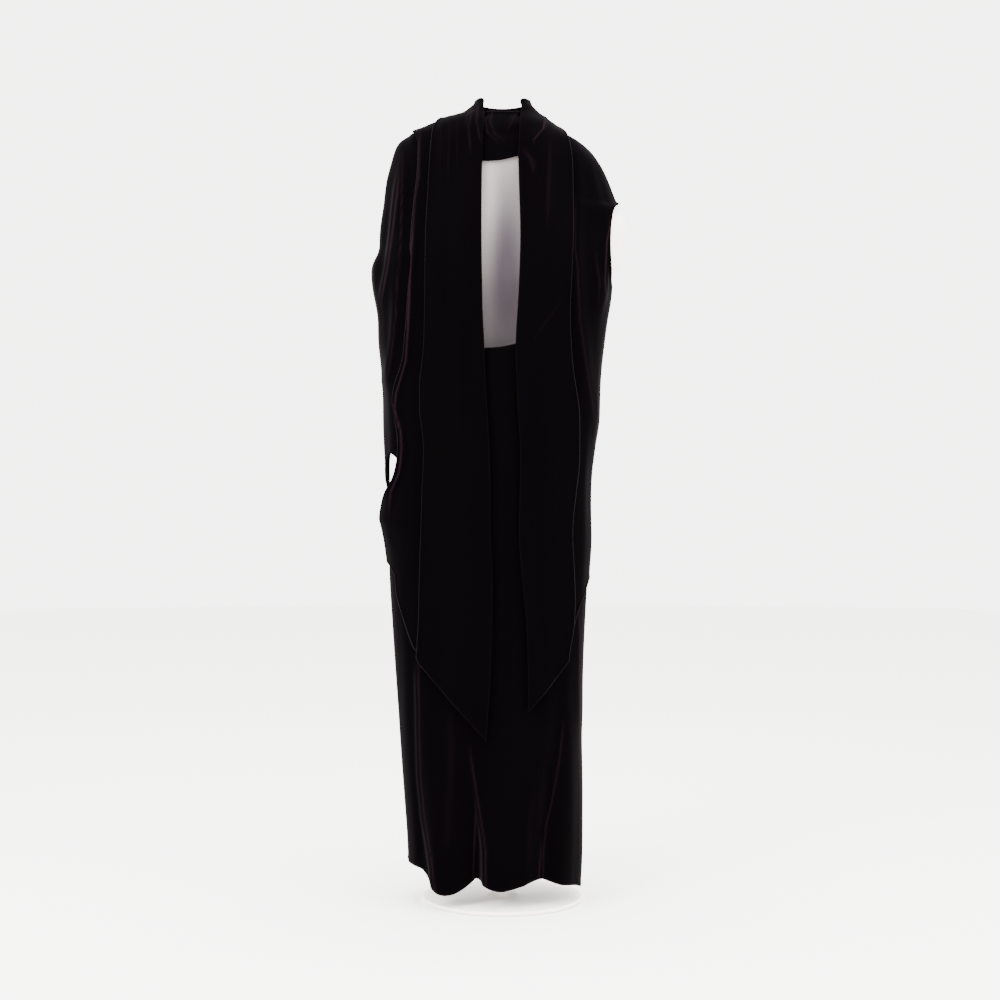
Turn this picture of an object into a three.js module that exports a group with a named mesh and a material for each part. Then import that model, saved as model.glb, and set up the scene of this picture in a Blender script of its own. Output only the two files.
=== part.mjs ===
// A floor-length velvet cape dress on a limbless dress form, as closed walls of cloth.
// Units are millimetres, +Z is up, the front of the dress faces -Y and +X is the photo's right.
import * as THREE from "three";
import { mergeVertices } from "three/addons/utils/BufferGeometryUtils.js";

// Driving sizes
const clothWall = 2;
const seamGap = 0.3;
const restGap = 2.3;
const layerGap = 1.6;
const gownOffset = restGap;
const capeOffset = gownOffset + clothWall + layerGap;
const scarfOffset = clothWall + layerGap + 1;
const formBase = 620;
const formTop = 1401;
const plateRadius = 145;
const plateThickness = 8;
const hubRadius = 30;
const hubTop = 22;
const poleRadius = 14;

// How square the rings are: 2 is an ellipse.
const formSquareness = 2.15;
const clothSquareness = 2.4;

// Each table has named columns, and each row is one height, x or place along a piece.
const table = (columns, rows) =>
  rows.map((row) => Object.fromEntries(columns.map((name, index) => [name, row[index]])));

// The form's rings, with virtual rows above its top that carry the scarf round the neck.
const formRings = table(["z", "left", "right", "front", "back"], [
  [620, 150, 140, 90, 104],
  [680, 158, 147, 97, 110],
  [760, 160, 148, 100, 111],
  [840, 152, 145, 97, 102],
  [920, 138, 138, 90, 90],
  [980, 127, 129, 86, 82],
  [1030, 130, 132, 90, 82],
  [1080, 140, 144, 96, 88],
  [1092, 150, 160, 97, 90],
  [1100, 164, 178, 98, 91],
  [1112, 179, 194, 98, 92],
  [1130, 190, 205, 98, 94],
  [1152, 193, 213, 98, 95],
  [1170, 194, 219, 98, 96],
  [1190, 194, 224, 98, 97],
  [1211, 194, 225, 97, 98],
  [1230, 192, 213, 95, 98],
  [1245, 189, 197, 93, 97],
  [1274, 183, 184, 89, 95],
  [1310, 170, 165, 84, 91],
  [1340, 156, 144, 78, 84],
  [1355, 145, 127, 74, 79],
  [1368, 126, 102, 70, 73],
  [1378, 98, 78, 66, 67],
  [1385, 70, 63, 60, 61],
  [1392, 56, 55, 54, 55],
  [1400, 50, 50, 48, 50],
  [1416, 44, 44, 44, 46],
  [1440, 35, 35, 37, 41],
]);

// The column gown below the bust, inner face.
const gownRings = table(["z", "left", "right", "front", "back"], [
  [0, 166, 137, 118, 131],
  [100, 169, 142, 118, 132],
  [200, 176, 142, 118, 133],
  [300, 183, 140, 116, 131],
  [400, 189, 141, 115, 130],
  [500, 196, 147, 113, 128],
  [590, 200, 151, 112, 126],
  [680, 200, 154, 112, 124],
  [760, 184, 155, 112, 121],
  [830, 172, 158, 114, 117],
  [920, 160, 160, 116, 111],
  [990, 156, 160, 119, 107],
  [1040, 158, 160, 122, 105],
  [1090, 164, 162, 124, 102],
  [1140, 192, 208, 125, 98],
  [1180, 204, 222, 125, 98],
]);

// The cape's inner face, from the lower tips to the neck, where only the sides are used.
const capeRings = table(["z", "left", "right", "front", "back"], [
  [280, 185, 144, 121, 138],
  [400, 192, 146, 121, 137],
  [500, 199, 151, 119, 135],
  [590, 204, 155, 118, 135],
  [650, 212, 158, 118, 135],
  [690, 221, 157, 118, 135],
  [730, 213, 157, 118, 134],
  [790, 213, 160, 119, 132],
  [846, 214, 169, 120, 128],
  [932, 215, 174, 122, 122],
  [986, 223, 180, 124.5, 118],
  [1042, 224, 187, 127, 114],
  [1076, 230, 192, 128.5, 110],
  [1100, 233, 198, 129, 106],
  [1121, 236, 208, 129, 104],
  [1145, 233, 218, 129, 103],
  [1156, 224, 221, 129, 102],
  [1175, 222, 225, 129, 102],
  [1202, 220, 229, 129, 102],
  [1230, 216, 221, 129, 102],
  [1245, 213.5, 205.5, 129, 102],
  [1283, 209, 190, 129, 102],
  [1319, 199.5, 173, 129, 102],
  [1350, 190, 145, 129, 102],
  [1368, 174, 114, 129, 102],
  [1377, 151, 101, 129, 102],
  [1389, 119, 84, 129, 102],
  [1394, 100, 77, 129, 102],
  [1399, 82, 70, 129, 102],
  [1406, 68, 62, 129, 102],
  [1416, 54, 53, 129, 102],
  [1424, 44, 45, 129, 102],
  [1433, 33, 36, 129, 102],
]);

// Monotone cubic reading of one column, so that a curve never overshoots its rows.
function read(rows, at, column, key = "z") {
  const last = rows.length - 1;
  if (at <= rows[0][key]) return rows[0][column];
  if (at >= rows[last][key]) return rows[last][column];
  let index = 0;
  while (rows[index + 1][key] < at) index += 1;
  const slope = (i) => (rows[i + 1][column] - rows[i][column]) / (rows[i + 1][key] - rows[i][key]);
  const tangent = (i) => {
    if (i === 0) return slope(0);
    if (i === last) return slope(last - 1);
    const before = slope(i - 1);
    const after = slope(i);
    return before * after <= 0 ? 0 : (2 * before * after) / (before + after);
  };
  const span = rows[index + 1][key] - rows[index][key];
  const t = (at - rows[index][key]) / span;
  const rise = t * t * (3 - 2 * t);
  return rows[index][column] * (1 - rise) + rows[index + 1][column] * rise
    + span * t * (1 - t) * ((1 - t) * tangent(index) - t * tangent(index + 1));
}

const mix = (from, to, t) => from + (to - from) * t;
const smooth = (from, to, value) => THREE.MathUtils.smoothstep(value, from, to);
const bell = (distance, width) => Math.exp(-((distance / width) ** 2));

// A point of a ring: turn 0 is the front centre, 0.25 the right side and 0.5 the back.
function ringPoint(rings, z, turn, squareness) {
  const angle = turn * Math.PI * 2;
  const across = Math.sin(angle);
  const along = Math.cos(angle);
  const power = Math.abs(across) ** squareness + Math.abs(along) ** squareness;
  const reach = power ** (-1 / squareness);
  const side = read(rings, z, across >= 0 ? "right" : "left");
  const depth = read(rings, z, along >= 0 ? "front" : "back");
  return new THREE.Vector3(side * across * reach, -depth * along * reach, z);
}

// Two soft mounds on the form; cloth bridges the furrow between them.
const bust = { x: 72, z: 1128, rise: 26, width: 48, above: 88, below: 62, centre: 4 };
function bustRise(x, z, bridged) {
  const away = Math.abs(x - bust.centre);
  const across = bridged && away < bust.x ? 1 : bell(away - bust.x, bust.width);
  return bust.rise * across * bell(z - bust.z, z > bust.z ? bust.above : bust.below);
}

function formSurface(turn, z, bridged = false) {
  const point = ringPoint(formRings, z, turn, formSquareness);
  if (point.y < 0) point.y -= bustRise(point.x, z, bridged) * Math.cos(turn * Math.PI * 2);
  return point;
}
const clothBody = (turn, z) => formSurface(turn, z, true);

// The outward direction of a surface, and a point moved along it.
function normalOf(surface, turn, z) {
  const stepTurn = 0.002;
  const stepZ = 1.5;
  const across = surface(turn + stepTurn, z).sub(surface(turn - stepTurn, z));
  const up = surface(turn, z + stepZ).sub(surface(turn, z - stepZ));
  return across.cross(up).normalize();
}
const moved = (surface, turn, z, distance) =>
  surface(turn, z).addScaledVector(normalOf(surface, turn, z), distance);

// Heights that the form and all the cloth over it share, so that their walls run side by side.
const bodyHeights = [1140, 1163, 1186, 1208, 1228, 1248, 1268, 1290, 1311, 1330, 1346, 1358, 1368, 1377,
  1388, formTop];
const upTo = (height) => bodyHeights.filter((z) => z <= height);

// Folds of the skirt: where each lies at the hem and higher up, its depth and its width.
const skirtFolds = table(["hemX", "topX", "topZ", "depth", "width"], [
  [-138, -138, 420, 10, 8],
  [-100, -128, 430, -9, 16],
  [-47, -60, 330, 34, 17],
  [-22, -26, 260, -8, 14],
  [62, 100, 380, 30, 17],
  [100, 112, 300, -8, 18],
]);
const backFolds = table(["hemX", "topX", "topZ", "depth", "width"], [
  [-122, -112, 500, 18, 17],
  [-64, -58, 560, 30, 19],
  [-4, 2, 620, 22, 21],
  [56, 48, 560, 30, 19],
  [106, 98, 480, 16, 16],
]);

// How far a skirt's folds draw it in at an x and a height: most at the hem, nothing at their top.
const foldFade = 0.8;
function foldDepth(folds, x, z) {
  let depth = 0;
  for (const fold of folds) {
    if (z > fold.topZ) continue;
    const rise = z / fold.topZ;
    const centre = mix(fold.hemX, fold.topX, rise);
    depth += fold.depth * (1 - rise) ** foldFade * bell(x - centre, fold.width);
  }
  return depth;
}

function gownColumn(turn, z) {
  const point = ringPoint(gownRings, z, turn, clothSquareness);
  if (point.y < 0) point.y += foldDepth(skirtFolds, point.x, z);
  else point.y -= foldDepth(backFolds, point.x, z);
  return point;
}

// Between these heights the hanging cloth below turns into cloth that follows the body above.
const hug = { start: 1140, end: 1172 };
const hugging = (z) => smooth(hug.start, hug.end, z);
function gownSurface(turn, z) {
  const share = hugging(z);
  if (share === 0) return gownColumn(turn, z);
  return gownColumn(turn, z).lerp(moved(clothBody, turn, z, gownOffset), share);
}

// Above the bust the cape follows the body and is drawn out sideways to its own outline.
function capeSurface(turn, z) {
  const share = hugging(z);
  const angle = turn * Math.PI * 2;
  const lower = ringPoint(capeRings, z, turn, clothSquareness);
  if (share === 0) return lower;
  const upper = moved(clothBody, turn, z, capeOffset);
  const side = Math.sin(angle) >= 0 ? "right" : "left";
  const body = read(formRings, z, side) + capeOffset;
  const spread = Math.max(0, read(capeRings, z, side) - body);
  upper.x += spread * Math.sin(angle);
  return lower.lerp(upper, share);
}

// The turn at which a surface has the given x, on the front half or the back half.
function turnAtX(surface, z, x, onBack = false) {
  let low = -0.25;
  let high = 0.25;
  for (let step = 0; step < 30; step += 1) {
    const middle = (low + high) / 2;
    const turn = onBack ? 0.5 - middle : middle;
    if (surface(turn, z).x < x) low = middle;
    else high = middle;
  }
  const found = (low + high) / 2;
  return onBack ? 0.5 - found : found;
}

// A closed wall of cloth over a grid of places; a false cell is left open and walled round.
function wallGeometry({ columns, rows, place, wall = clothWall, closed = false, isOpen = () => false }) {
  const acrossCount = closed ? columns : columns + 1;
  const layerSize = acrossCount * (rows + 1);
  const positions = [];
  for (const depth of [wall, 0]) {
    for (let row = 0; row <= rows; row += 1) {
      for (let column = 0; column < acrossCount; column += 1) {
        positions.push(...place(column / columns, row / rows, depth, column, row).toArray());
      }
    }
  }
  const at = (column, row, layer) => layer * layerSize + row * acrossCount + (column % acrossCount);
  const solid = (column, row) => {
    if (row < 0 || row >= rows) return false;
    if (!closed && (column < 0 || column >= columns)) return false;
    return !isOpen((column + columns) % columns, row);
  };
  const faces = [];
  const quad = (a, b, c, d) => faces.push(a, b, c, a, c, d);
  for (let row = 0; row < rows; row += 1) {
    for (let column = 0; column < columns; column += 1) {
      if (!solid(column, row)) continue;
      const right = column + 1;
      const above = row + 1;
      quad(at(column, row, 0), at(right, row, 0), at(right, above, 0), at(column, above, 0));
      quad(at(column, row, 1), at(column, above, 1), at(right, above, 1), at(right, row, 1));
      if (!solid(column, row - 1)) {
        quad(at(column, row, 1), at(right, row, 1), at(right, row, 0), at(column, row, 0));
      }
      if (!solid(column, above)) {
        quad(at(column, above, 0), at(right, above, 0), at(right, above, 1), at(column, above, 1));
      }
      if (!solid(column - 1, row)) {
        quad(at(column, row, 0), at(column, above, 0), at(column, above, 1), at(column, row, 1));
      }
      if (!solid(right, row)) {
        quad(at(right, row, 1), at(right, above, 1), at(right, above, 0), at(right, row, 0));
      }
    }
  }
  const used = new Map();
  const kept = [];
  const index = faces.map((vertex) => {
    if (!used.has(vertex)) {
      used.set(vertex, kept.length / 3);
      kept.push(...positions.slice(vertex * 3, vertex * 3 + 3));
    }
    return used.get(vertex);
  });
  const geometry = new THREE.BufferGeometry();
  geometry.setAttribute("position", new THREE.Float32BufferAttribute(kept, 3));
  geometry.setIndex(index);
  return geometry;
}

// Rows of a panel: fixed heights above the waist, scaled below it to reach a shaped hem.
function rowHeight(heights, v, hem, hold) {
  const position = v * (heights.length - 1);
  const index = Math.min(Math.floor(position), heights.length - 2);
  const height = mix(heights[index], heights[index + 1], position - index);
  if (height >= hold) return height;
  return mix(hem, hold, (height - heights[0]) / (hold - heights[0]));
}

const velvet = { color: 0x2a1420, roughness: 0.85, metalness: 0 };
function mesh(name, geometry, look) {
  geometry.computeVertexNormals();
  const piece = new THREE.Mesh(geometry, new THREE.MeshStandardMaterial(look));
  piece.name = name;
  return piece;
}

// The dress form: one smooth closed body with a bust, shoulder caps and a low neck.
function makeForm() {
  const columns = 32;
  const heights = [formBase, 626, 680, 750, 820, 890, 950, 1000, 1045, 1080, 1094, 1104, 1118,
    ...bodyHeights];
  const edgeInset = 8;
  const crown = 3;
  const positions = [];
  heights.forEach((z, row) => {
    for (let column = 0; column < columns; column += 1) {
      const inset = row === 0 || row === heights.length - 1 ? -edgeInset : 0;
      const point = moved(formSurface, column / columns, z, 0);
      const away = new THREE.Vector3(point.x, point.y, 0).normalize();
      point.addScaledVector(away, inset);
      positions.push(...point.toArray());
    }
  });
  const faces = [];
  for (let row = 0; row < heights.length - 1; row += 1) {
    for (let column = 0; column < columns; column += 1) {
      const next = (column + 1) % columns;
      const a = row * columns + column;
      const b = row * columns + next;
      faces.push(a, b, b + columns, a, b + columns, a + columns);
    }
  }
  const underside = positions.length / 3;
  positions.push(0, 0, heights[0]);
  const top = underside + 1;
  positions.push(0, 0, formTop + crown);
  const lastRing = (heights.length - 1) * columns;
  for (let column = 0; column < columns; column += 1) {
    const next = (column + 1) % columns;
    faces.push(underside, next, column, top, lastRing + column, lastRing + next);
  }
  const geometry = new THREE.BufferGeometry();
  geometry.setAttribute("position", new THREE.Float32BufferAttribute(positions, 3));
  geometry.setIndex(faces);
  return mesh("form_torso", geometry, { color: 0xd8d2cf, roughness: 0.7, metalness: 0 });
}

function lathe(points, segments) {
  const geometry = new THREE.LatheGeometry(points.map(([x, y]) => new THREE.Vector2(x, y)), segments);
  geometry.deleteAttribute("uv");
  geometry.deleteAttribute("normal");
  geometry.rotateX(Math.PI / 2);
  return mergeVertices(geometry);
}

// The stand: a thin round plate with a hub, and a pole up to the form's underside.
function makeStand() {
  const edge = 3;
  const socketWall = 6;
  const plate = lathe([
    [0, 0],
    [plateRadius - edge, 0],
    [plateRadius, edge],
    [plateRadius, plateThickness - edge],
    [plateRadius - edge, plateThickness],
    [hubRadius, plateThickness + 1],
    [poleRadius + socketWall, hubTop],
    [0, hubTop],
  ], 32);
  const pole = lathe([
    [0, hubTop + seamGap],
    [poleRadius, hubTop + seamGap],
    [poleRadius, formBase - seamGap],
    [0, formBase - seamGap],
  ], 16);
  const painted = { color: 0xe4e0dc, roughness: 0.5, metalness: 0 };
  return [mesh("stand_plate", plate, painted), mesh("stand_pole", pole, painted)];
}

// Height of the hem by x at the front, read where the skirt's lower edge turns.
const frontHem = table(["x", "z"], [
  [-168, 74],
  [-147, 70],
  [-120, 52],
  [-112, 28],
  [-65, 42],
  [-48, 56],
  [-5, 38],
  [28, 45],
  [62, 56],
  [100, 46],
  [130, 36],
  [140, 26],
]);
const backHem = 60;
const hemHold = 320;
const topHold = 1248;

const keyhole = { left: -47, right: 40, bottom: 982, rise: 12, dip: 2 };
const armhole = { bottom: 1036, top: 1346, inTurn: 0.09 };
const sideTurn = 0.25;

// The side edge of a gown panel: on the side seam, drawn in round the armhole.
const armholeCurve = { below: 44, above: 76 };
function gownEdge(z) {
  const into = smooth(armhole.bottom, armhole.bottom + armholeCurve.below, z);
  const out = smooth(armhole.top - armholeCurve.above, armhole.top, z);
  return sideTurn - armhole.inTurn * into * (1 - out);
}

// The seam allowance as a turn, so that two panels stay apart by the seam gap.
function seamTurn(surface, turn, z, gap = seamGap / 2) {
  const step = 0.002;
  return gap * step / surface(turn, z).distanceTo(surface(turn + step, z));
}

// The gown's top edge at the front, from the left side seam to the right one.
const gownTop = table(["turn", "z"], [
  [-0.25, 1377],
  [-0.22, 1370],
  [-0.17, 1350],
  [-0.1, 1325],
  [-0.05, 1312],
  [-0.03, 1309.5],
  [-0.008, 1309.5],
  [0.008, 1313.5],
  [0.027, 1319],
  [0.05, 1322],
  [0.1, 1331],
  [0.17, 1351],
  [0.22, 1370],
  [0.25, 1377],
]);
const gownBackTop = 1377;
const gownHeights = [0, 65, 130, 195, 260, 320, 430, 550, 670, 780, 870, 930, keyhole.bottom, 1012, 1042,
  1076, 1110];

function makeGownFront() {
  const heights = [...gownHeights, ...upTo(gownBackTop)];
  const columns = 24;
  const holeColumns = [9, 15];
  const holeRow = heights.indexOf(keyhole.bottom);
  const hemProbe = 40;
  const surface = gownSurface;
  const turnFor = (column, z) => {
    const edge = gownEdge(z);
    const left = -edge + seamTurn(surface, -edge, z);
    const right = edge - seamTurn(surface, edge, z);
    const holeLeft = turnAtX(surface, z, keyhole.left);
    const holeRight = turnAtX(surface, z, keyhole.right);
    if (column <= holeColumns[0]) return mix(left, holeLeft, column / holeColumns[0]);
    if (column >= holeColumns[1]) {
      return mix(holeRight, right, (column - holeColumns[1]) / (columns - holeColumns[1]));
    }
    return mix(holeLeft, holeRight, (column - holeColumns[0]) / (holeColumns[1] - holeColumns[0]));
  };
  // The keyhole's lower edge dips in the middle and rises to its right corner.
  const holeEdge = (column) => {
    const share = (column - holeColumns[0]) / (holeColumns[1] - holeColumns[0]);
    if (share <= 0) return 0;
    if (share > 1) return keyhole.rise * (1 - smooth(1, 1.5, share));
    return keyhole.rise * share ** 2 - keyhole.dip * Math.sin(share * Math.PI);
  };
  const place = (_, v, depth, column, row) => {
    let z = rowHeight(heights, v, 0, 0);
    if (row === holeRow) z += holeEdge(column);
    if (z < hemHold) {
      const hem = read(frontHem, surface(turnFor(column, hemProbe), hemProbe).x, "z", "x");
      z = mix(hem, hemHold, z / hemHold);
    } else if (z > topHold) {
      let topZ = gownBackTop;
      for (let step = 0; step < 6; step += 1) {
        topZ = read(gownTop, turnFor(column, topZ), "z", "turn");
      }
      z = mix(topHold, topZ, (z - topHold) / (gownBackTop - topHold));
    }
    return moved(surface, turnFor(column, z), z, depth);
  };
  const isOpen = (column, row) =>
    row >= holeRow && column >= holeColumns[0] && column < holeColumns[1];
  const geometry = wallGeometry({ columns, rows: heights.length - 1, place, isOpen });
  return mesh("gown_front", geometry, velvet);
}

function makeGownBack() {
  const heights = [...gownHeights, ...upTo(gownBackTop)];
  const columns = 24;
  const place = (u, v, depth) => {
    let z = rowHeight(heights, v, 0, 0);
    if (z < hemHold) {
      const side = Math.abs(u - 0.5) * 2;
      const frontEnd = frontHem[u < 0.5 ? frontHem.length - 1 : 0].z;
      z = mix(mix(backHem, frontEnd, side ** 3), hemHold, z / hemHold);
    }
    const edge = gownEdge(z);
    const start = 0.5 - edge + seamTurn(gownSurface, 0.5 - edge, z);
    const end = 0.5 + edge - seamTurn(gownSurface, 0.5 + edge, z);
    return moved(gownSurface, mix(start, end, u), z, depth);
  };
  return mesh("gown_back", wallGeometry({ columns, rows: heights.length - 1, place }), velvet);
}

// The draped band round the throat, edge to edge with the gown's top.
function makeNeckBand() {
  const top = 1405;
  const bandGap = 0.85;
  const lift = 0.4;
  const pleat = { depth: 1.5, count: 2, from: 0.05, to: 0.075 };
  const rows = 6;
  const place = (u, v, depth) => {
    const turn = u - 0.5;
    const away = Math.abs(turn);
    const gownEdgeZ = read(gownTop, turn, "z", "turn");
    const z = mix(gownEdgeZ + bandGap, top, v);
    const shown = 1 - smooth(pleat.from, pleat.to, away);
    const rise = pleat.depth * shown * Math.sin(v * Math.PI * pleat.count) ** 2;
    return moved(gownSurface, turn, z, depth + lift + (depth > 0 ? rise : 0));
  };
  return mesh("neck_band", wallGeometry({ columns: 32, rows, place, closed: true }), velvet);
}

// Outer edge of the left cape front, and the lower edge of both fronts.
const leftFrontEdge = table(["z", "x"], [
  [590, -202],
  [650, -210],
  [690, -217],
  [711, -208],
  [737, -202],
  [764, -184],
  [783, -179],
  [806, -177],
  [836, -178],
  [864, -186],
  [880, -190],
  [904, -187],
  [941, -176],
  [964, -169],
  [1022, -166],
  [1111, -162],
  [1190, -158],
  [1232, -155],
  [1285, -149],
  [1340, -147],
  [1362, -154],
  [1376, -170],
]);
const rightFrontEdge = table(["z", "x"], [
  [1058, 230],
  [1094, 191],
  [1127, 191],
  [1160, 188],
  [1200, 188],
  [1226, 195],
  [1234, 201],
  [1240, 205],
  [1244, 207],
  [1248, 230],
]);
const leftFrontHem = table(["x", "z"], [
  [-202, 606],
  [-184, 571],
  [-169, 523],
  [-156, 484],
  [-146, 446],
  [-100, 470],
  [-60, 500],
]);
const rightFrontHem = table(["x", "z"], [
  [52, 500],
  [90, 472],
  [112, 446],
  [124, 484],
  [138, 530],
  [156, 580],
]);
const frontInner = { left: -60, right: 52 };
const capeHeights = [440, 500, 560, 620, 690, 760, 830, 895, 950, 1000, 1045, 1082, 1112, ...bodyHeights];

// More rows where the left edge bulges, and where the right shoulder seam ends.
const bulgeHeights = [655, 725];
const seamEndHeights = [1234, 1240, 1244];

// A cape front between its inner edge under the scarf and its outer edge.
function makeCapeFront(name, side, outerEdge, hem) {
  const columns = 11;
  const added = side === "left" ? bulgeHeights : seamEndHeights;
  const heights = [...capeHeights, ...added].sort((a, b) => a - b);
  const hold = 690;
  const tipTurnsFrom = 590;
  const hemProbe = 600;
  const sign = side === "left" ? -1 : 1;
  const turns = (z) => {
    const inner = turnAtX(capeSurface, z, frontInner[side]);
    const seam = sign * (sideTurn - seamTurn(capeSurface, sideTurn, z));
    const outer = turnAtX(capeSurface, z, read(outerEdge, z, "x"));
    return [inner, sign * Math.min(Math.abs(outer), Math.abs(seam))];
  };
  const place = (u, v, depth) => {
    const across = side === "left" ? 1 - u : u;
    const nominal = rowHeight(heights, v, heights[0], 0);
    let z = nominal;
    if (nominal < hold) {
      const [inner, outer] = turns(Math.max(nominal, tipTurnsFrom));
      const x = capeSurface(mix(inner, outer, across), hemProbe).x;
      z = mix(read(hem, x, "z", "x"), hold, (nominal - heights[0]) / (hold - heights[0]));
    }
    const [inner, outer] = turns(z);
    return moved(capeSurface, mix(inner, outer, across), z, depth);
  };
  return mesh(name, wallGeometry({ columns, rows: heights.length - 1, place }), velvet);
}

const capeBackHeights = [735, 790, 845, 900, 950, 1000, 1045, 1082, 1112];
const sideTop = 1368;

// The left side of the cape, from under the left front round to the back seam.
const leftBackTurn = -0.31;
const sideHem = table(["turn", "z"], [
  [-0.31, 806],
  [-0.295, 792],
  [-0.282, 752],
  [-0.27, 738],
  [-0.255, 742],
  [-0.24, 762],
  [-0.21, 800],
  [-0.17, 780],
  [-0.12, 776],
]);
function makeCapeSide() {
  const heights = [...capeBackHeights, ...upTo(sideTop)];
  const tuck = -clothWall - 1.5;
  const overlap = 0.03;
  const hold = 900;
  const topEdge = { back: 1350, front: 1370, rise: 0.35 };
  const deeper = { amount: 1.4, from: 1290, to: 1340 };
  const tuckZone = { from: 0.1, to: 0.6 };
  const place = (u, v, depth) => {
    const nominal = rowHeight(heights, v, heights[0], 0);
    const start = leftBackTurn + seamTurn(capeSurface, leftBackTurn, nominal);
    const end = (z) => turnAtX(capeSurface, z, read(leftFrontEdge, z, "x")) + overlap;
    let z = nominal;
    if (nominal < hold) {
      const hem = read(sideHem, mix(start, end(nominal), u), "z", "turn");
      z = mix(hem, hold, (nominal - heights[0]) / (hold - heights[0]));
    }
    if (nominal > topHold) {
      const topZ = mix(topEdge.back, topEdge.front, smooth(0, topEdge.rise, u));
      z = mix(topHold, topZ, (nominal - topHold) / (sideTop - topHold));
    }
    const under = tuck - deeper.amount * smooth(deeper.from, deeper.to, z);
    const lift = under * smooth(tuckZone.from, tuckZone.to, u);
    return moved(capeSurface, mix(start, end(z), u), z, depth + lift);
  };
  return mesh("cape_side_left", wallGeometry({ columns: 9, rows: heights.length - 1, place }), velvet);
}

// The back of the cape, from the open right slit to the left side seam.
function makeCapeBack() {
  const heights = [...capeBackHeights, ...bodyHeights];
  const slit = { top: 1248, columns: 3, turn: 0.027, rounding: 110 };
  const hold = 900;
  const leftHem = { rise: 71, from: 0.58, to: 0.86 };
  const folds = { count: 4, depth: 13, top: 1080 };
  const seamMove = { from: 1362, to: 1379 };
  const place = (u, v, depth) => {
    const nominal = rowHeight(heights, v, heights[0], 0);
    const hem = heights[0] + leftHem.rise * smooth(leftHem.from, leftHem.to, u);
    const z = nominal < hold ? mix(hem, hold, (nominal - heights[0]) / (hold - heights[0])) : nominal;
    const open = slit.turn * (1 - smooth(slit.top - slit.rounding, slit.top, z));
    const start = sideTurn + seamTurn(capeSurface, sideTurn, z) + open;
    const seam = mix(1 + leftBackTurn, 1 - sideTurn, smooth(seamMove.from, seamMove.to, z));
    const end = seam - seamTurn(capeSurface, seam, z);
    const fall = Math.max(0, 1 - (z - heights[0]) / (folds.top - heights[0]));
    const fold = folds.depth * fall * Math.sin(u * Math.PI * folds.count) ** 2;
    return moved(capeSurface, mix(start, end, u), z, depth + fold);
  };
  const isOpen = (column, row) => column < slit.columns && heights[row + 1] <= slit.top;
  return mesh("cape_back", wallGeometry({ columns: 21, rows: heights.length - 1, place, isOpen }), velvet);
}

// Rows of each scarf end: the x and height of its inner and its outer edge.
const leftEnd = table(["s", "innerX", "innerZ", "outerX", "outerZ"], [
  [0, -60, 1431, -120, 1398],
  [1, -29, 1428, -110, 1388],
  [2, -31, 1412, -121, 1370],
  [3, -32, 1385, -124, 1346],
  [4, -34, 1350, -126, 1322],
  [5, -35, 1310, -127, 1298],
  [6, -36, 1270, -128, 1264],
  [7, -36, 1230, -129, 1228],
  [8, -36, 1185, -131, 1185],
  [9, -36, 1140, -132, 1140],
  [10, -35, 1090, -133, 1090],
  [11, -34, 1040, -133, 1040],
  [12, -31, 980, -135, 980],
  [13, -29, 920, -141, 920],
  [14, -26, 870, -141, 870],
  [15, -23, 810, -134, 810],
  [16, -21, 740, -137, 740],
  [17, -21, 660, -139, 670],
  [18, -17, 580, -141, 600],
  [19, -18, 500, -142, 545],
  [20, -20, 430, -143, 500],
  [21, -23, 370, -145, 464],
  [22, -28, 299, -145, 437],
]);
const rightEnd = table(["s", "innerX", "innerZ", "outerX", "outerZ"], [
  [0, 60, 1431, 120, 1395],
  [1, 27, 1426, 95, 1384],
  [2, 31, 1409, 108, 1366],
  [3, 30, 1382, 116, 1342],
  [4, 28, 1350, 120, 1318],
  [5, 27, 1310, 121, 1294],
  [6, 28, 1270, 121, 1262],
  [7, 29, 1230, 121, 1226],
  [8, 31, 1185, 120, 1185],
  [9, 30, 1140, 119, 1140],
  [10, 28, 1090, 116, 1090],
  [11, 25, 1040, 114, 1040],
  [12, 22, 980, 116, 980],
  [13, 24, 920, 122, 920],
  [14, 26, 870, 129, 870],
  [15, 30, 800, 129, 800],
  [16, 29, 730, 123, 730],
  [17, 28, 660, 117, 660],
  [18, 32, 590, 120, 590],
  [19, 39, 520, 121, 540],
  [20, 42, 460, 119, 496],
  [21, 43, 400, 113, 460],
  [22, 43, 349, 110, 435],
]);

// Half the gap between the scarf's stretches, where they meet at the sides of the neck.
const scarfSeam = 0.2;

// A hanging end of the scarf, laid over the cape front from the neck side to its pointed tip.
function makeScarfEnd(name, rowsTable, side) {
  const columns = 6;
  const rows = 36;
  const sign = side === "left" ? -1 : 1;
  const waves = { depth: 3, count: 1.5, from: 3, to: 8 };
  const place = (u, v, depth) => {
    const across = side === "left" ? 1 - u : u;
    const s = (1 - v) * (rowsTable.length - 1);
    const row = (column) => read(rowsTable, s, column, "s");
    const within = (found, z) => {
      const limit = sideTurn - seamTurn(capeSurface, sideTurn, z, scarfSeam);
      return sign * Math.min(sign * found, limit);
    };
    const inner = within(turnAtX(capeSurface, row("innerZ"), row("innerX")), row("innerZ"));
    const outer = within(turnAtX(capeSurface, row("outerZ"), row("outerX")), row("outerZ"));
    const turn = mix(inner, outer, across);
    const z = mix(row("innerZ"), row("outerZ"), across);
    const fade = smooth(waves.from, waves.to, s);
    const wave = waves.depth * Math.sin(across * Math.PI * waves.count) ** 2 * fade;
    return moved(capeSurface, turn, z, depth + scarfOffset + wave);
  };
  return mesh(name, wallGeometry({ columns, rows, place }), velvet);
}

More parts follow.
